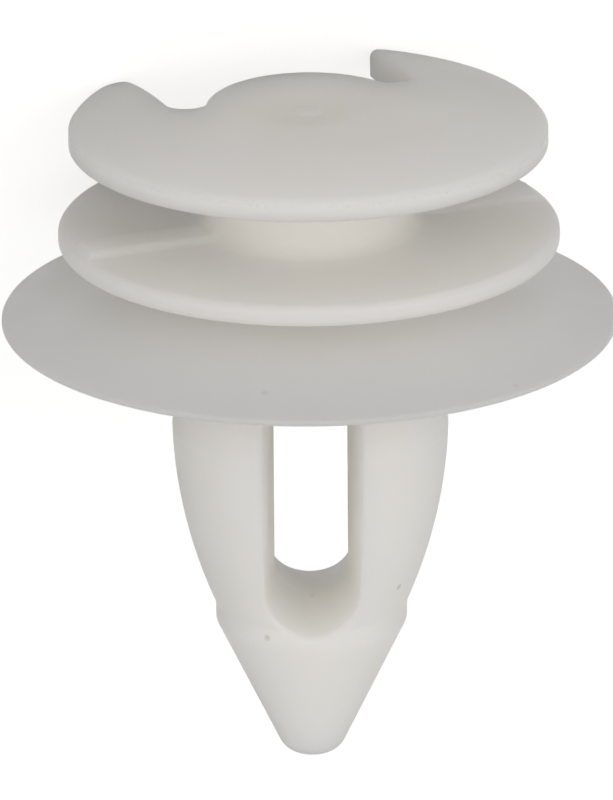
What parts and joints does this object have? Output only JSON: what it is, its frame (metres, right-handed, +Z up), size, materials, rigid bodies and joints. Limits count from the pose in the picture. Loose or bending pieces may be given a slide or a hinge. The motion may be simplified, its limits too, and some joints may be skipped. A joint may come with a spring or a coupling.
{
  "type": "trim clip",
  "caption": "Push-in trim panel clip moulded in natural nylon: notched domed head, grooved neck, thin sealing flange and a split, bowed shank with a rounded tip.",
  "frame": {"origin": "on the surface that the clip lies on, under the middle of its box", "axes": "+X along the surface towards the head, +Z up from the surface; the clip's own axis lies in the XZ plane with the head end down"},
  "size_m": [0.0228, 0.02, 0.0172],
  "materials": {
    "natural_nylon": "satin moulding in uncoloured, slightly translucent nylon"
  },
  "bodies": {
    "root": {"trim_clip": "natural_nylon"}
  },
  "joints": []
}
